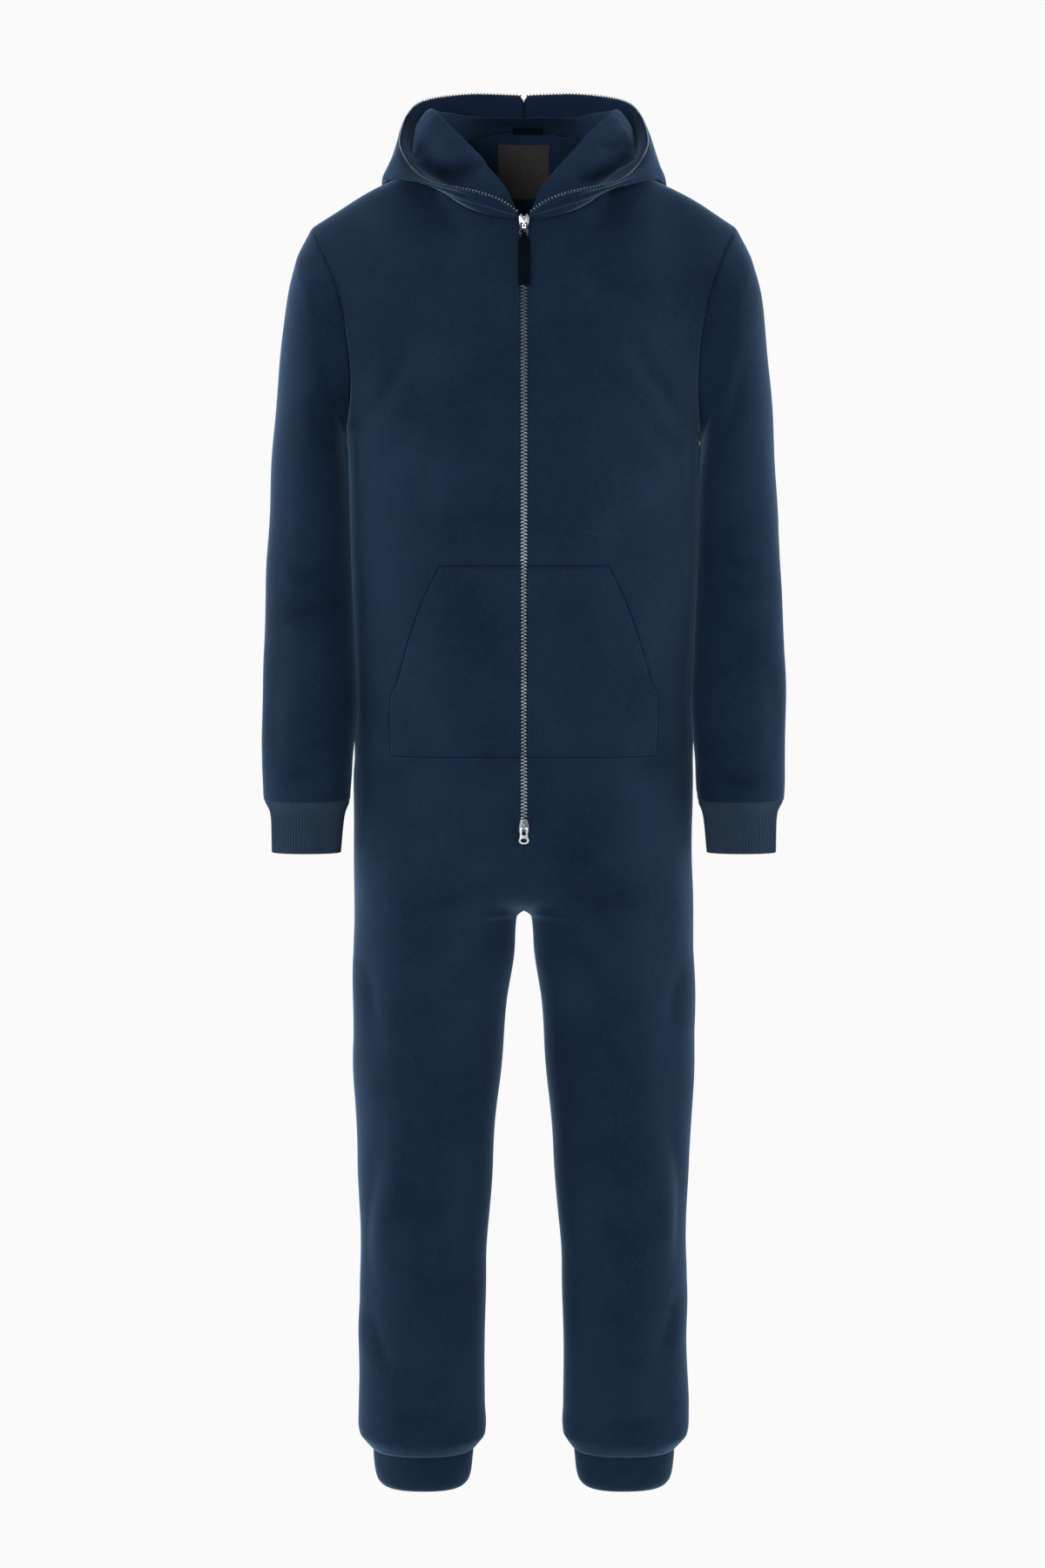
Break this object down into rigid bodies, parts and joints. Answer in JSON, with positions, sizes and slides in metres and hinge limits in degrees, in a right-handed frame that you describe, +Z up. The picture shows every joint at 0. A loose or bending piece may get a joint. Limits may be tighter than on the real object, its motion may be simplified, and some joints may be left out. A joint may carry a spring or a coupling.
{
  "type": "onesie pajama",
  "caption": "Hooded all-in-one fleece pajama with a full front zip that opens from either end, split kangaroo pocket and ribbed cuffs, in its worn, hollow shape.",
  "frame": {"origin": "base of the neck, midway between the shoulders, where the wearer's shoulders carry the garment", "axes": "+Z up along the body, -Y out of the zipped front, +X towards the wearer's left"},
  "size_m": [0.613, 0.3245, 1.6701],
  "materials": {
    "navy_fleece": "brushed, matt",
    "navy_rib_knit": "ribbed knit, matt",
    "black_woven_tape": "tightly woven, slight sheen",
    "gunmetal": "dark plated metal, satin"
  },
  "bodies": {
    "garment": {"front_left": "navy_fleece", "front_right": "navy_fleece", "back_left": "navy_fleece", "back_right": "navy_fleece", "front_hip_left": "navy_fleece", "front_hip_right": "navy_fleece", "back_hip_left": "navy_fleece", "back_hip_right": "navy_fleece", "front_leg_left": "navy_fleece", "front_leg_right": "navy_fleece", "back_leg_left": "navy_fleece", "back_leg_right": "navy_fleece", "sleeve_left": "navy_fleece", "sleeve_right": "navy_fleece", "sleeve_cuff_left": "navy_rib_knit", "sleeve_cuff_right": "navy_rib_knit", "leg_cuff_left": "navy_rib_knit", "leg_cuff_right": "navy_rib_knit", "hood_left": "navy_fleece", "hood_right": "navy_fleece", "hood_lining_left": "navy_fleece", "hood_lining_right": "navy_fleece", "hood_zip_left": "gunmetal", "hood_zip_right": "gunmetal", "pocket_left": "navy_fleece", "pocket_right": "navy_fleece", "front_zip": "gunmetal", "slider_top": "gunmetal", "slider_bottom": "gunmetal", "neck_label": "black_woven_tape", "hanger_loop": "black_woven_tape"},
    "top_pull": {"pull_top": "gunmetal", "puller_strap": "black_woven_tape"},
    "bottom_pull": {"pull_bottom": "gunmetal"}
  },
  "joints": [
    {"name": "top_pull_hinge", "type": "hinge", "parent": "garment", "child": "top_pull", "pos_m": [0, -0.10581, -0.08591], "axis": [-1, 0, 0], "range_deg": [0, 140]},
    {"name": "bottom_pull_hinge", "type": "hinge", "parent": "garment", "child": "bottom_pull", "pos_m": [0, -0.11766, -0.77308], "axis": [-1, 0, 0], "range_deg": [0, 140]}
  ]
}
